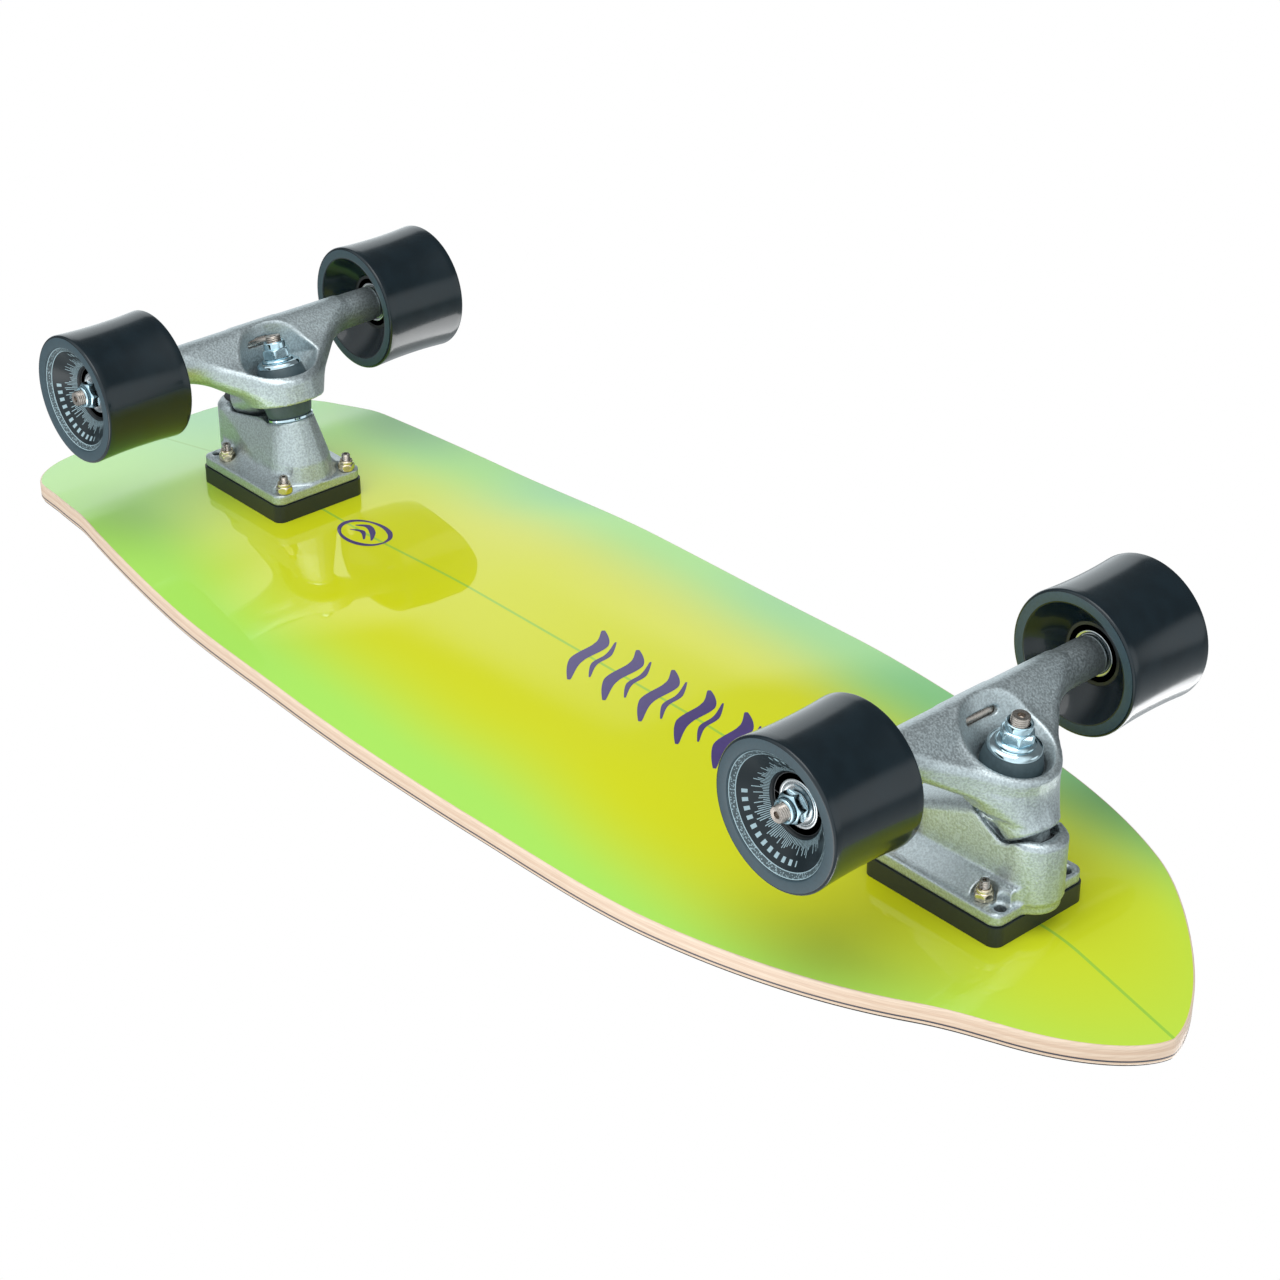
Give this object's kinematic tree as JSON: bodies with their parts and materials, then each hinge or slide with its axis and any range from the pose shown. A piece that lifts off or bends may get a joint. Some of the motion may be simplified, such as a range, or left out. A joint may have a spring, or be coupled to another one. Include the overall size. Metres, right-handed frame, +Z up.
{
  "type": "skateboard",
  "caption": "Short carving skateboard: pointed-nose maple deck with concave and kicked ends, cast trucks on sprung bushings, wide soft wheels on ball bearings.",
  "frame": {"origin": "on the ground under the wheels, at mid-length and mid-width of the board", "axes": "+X towards the nose, +Y towards the rider's left, +Z up; the board stands on its wheels"},
  "size_m": [0.776, 0.249, 0.1469],
  "materials": {
    "deck": "clear gloss over a green and yellow sprayed fade, maple edge",
    "grip_tape": "coarse black grit",
    "riser": "satin black",
    "baseplate": "tumbled cast",
    "hanger": "tumbled cast",
    "pivot_cup": "white urethane",
    "kingpin": "zinc plated",
    "washer": "bright zinc",
    "bushing": "slate urethane",
    "nut": "bright zinc",
    "bolt": "zinc plated",
    "axle": "bare steel",
    "tyre": "glossy black urethane",
    "core": "moulded black",
    "race": "ground steel",
    "shield": "pressed steel",
    "ball": "polished"
  },
  "bodies": {
    "board": {"deck": "deck", "grip_tape": "grip_tape", "front_riser": "riser", "front_baseplate": "baseplate", "front_pivot_cup": "pivot_cup", "front_kingpin": "kingpin", "front_lower_washer": "washer", "front_board_bushing": "bushing", "front_road_bushing": "bushing", "front_upper_washer": "washer", "front_kingpin_nut": "nut", "front_mount_bolts": "bolt", "front_mount_nuts": "nut", "rear_riser": "riser", "rear_baseplate": "baseplate", "rear_pivot_cup": "pivot_cup", "rear_kingpin": "kingpin", "rear_lower_washer": "washer", "rear_board_bushing": "bushing", "rear_road_bushing": "bushing", "rear_upper_washer": "washer", "rear_kingpin_nut": "nut", "rear_mount_bolts": "bolt", "rear_mount_nuts": "nut"},
    "front_hanger_assembly": {"front_hanger": "hanger", "front_axle": "axle", "front_axle_nuts": "nut", "front_speed_washers": "washer", "front_bearing_spacers": "race", "front_inner_races": "race"},
    "rear_hanger_assembly": {"rear_hanger": "hanger", "rear_axle": "axle", "rear_axle_nuts": "nut", "rear_speed_washers": "washer", "rear_bearing_spacers": "race", "rear_inner_races": "race"},
    "front_left_wheel": {"front_left_tyre": "tyre", "front_left_core": "core", "front_left_outer_races": "race", "front_left_shields": "shield", "front_left_balls": "ball"},
    "front_right_wheel": {"front_right_tyre": "tyre", "front_right_core": "core", "front_right_outer_races": "race", "front_right_shields": "shield", "front_right_balls": "ball"},
    "rear_left_wheel": {"rear_left_tyre": "tyre", "rear_left_core": "core", "rear_left_outer_races": "race", "rear_left_shields": "shield", "rear_left_balls": "ball"},
    "rear_right_wheel": {"rear_right_tyre": "tyre", "rear_right_core": "core", "rear_right_outer_races": "race", "rear_right_shields": "shield", "rear_right_balls": "ball"}
  },
  "joints": [
    {"name": "front_steer", "type": "hinge", "parent": "board", "child": "front_hanger_assembly", "pos_m": [0.3074, 0, 0.0786], "axis": [0.5233, 0, 0.8522], "range_deg": [-20, 20], "stiffness_Nm_per_rad": 55, "deforming": ["front_board_bushing", "front_road_bushing"]},
    {"name": "rear_steer", "type": "hinge", "parent": "board", "child": "rear_hanger_assembly", "pos_m": [-0.2754, 0, 0.0766], "axis": [-0.8828, 0, 0.4698], "range_deg": [-18, 18], "stiffness_Nm_per_rad": 60, "deforming": ["rear_board_bushing", "rear_road_bushing"]},
    {"name": "front_left_spin", "type": "hinge", "parent": "front_hanger_assembly", "child": "front_left_wheel", "pos_m": [0.2669, 0.0899, 0.0345], "axis": [0, 1, 0], "continuous": true},
    {"name": "front_right_spin", "type": "hinge", "parent": "front_hanger_assembly", "child": "front_right_wheel", "pos_m": [0.2669, -0.0899, 0.0345], "axis": [0, 1, 0], "continuous": true},
    {"name": "rear_left_spin", "type": "hinge", "parent": "rear_hanger_assembly", "child": "rear_left_wheel", "pos_m": [-0.2563, 0.0899, 0.0345], "axis": [0, 1, 0], "continuous": true},
    {"name": "rear_right_spin", "type": "hinge", "parent": "rear_hanger_assembly", "child": "rear_right_wheel", "pos_m": [-0.2563, -0.0899, 0.0345], "axis": [0, 1, 0], "continuous": true}
  ]
}
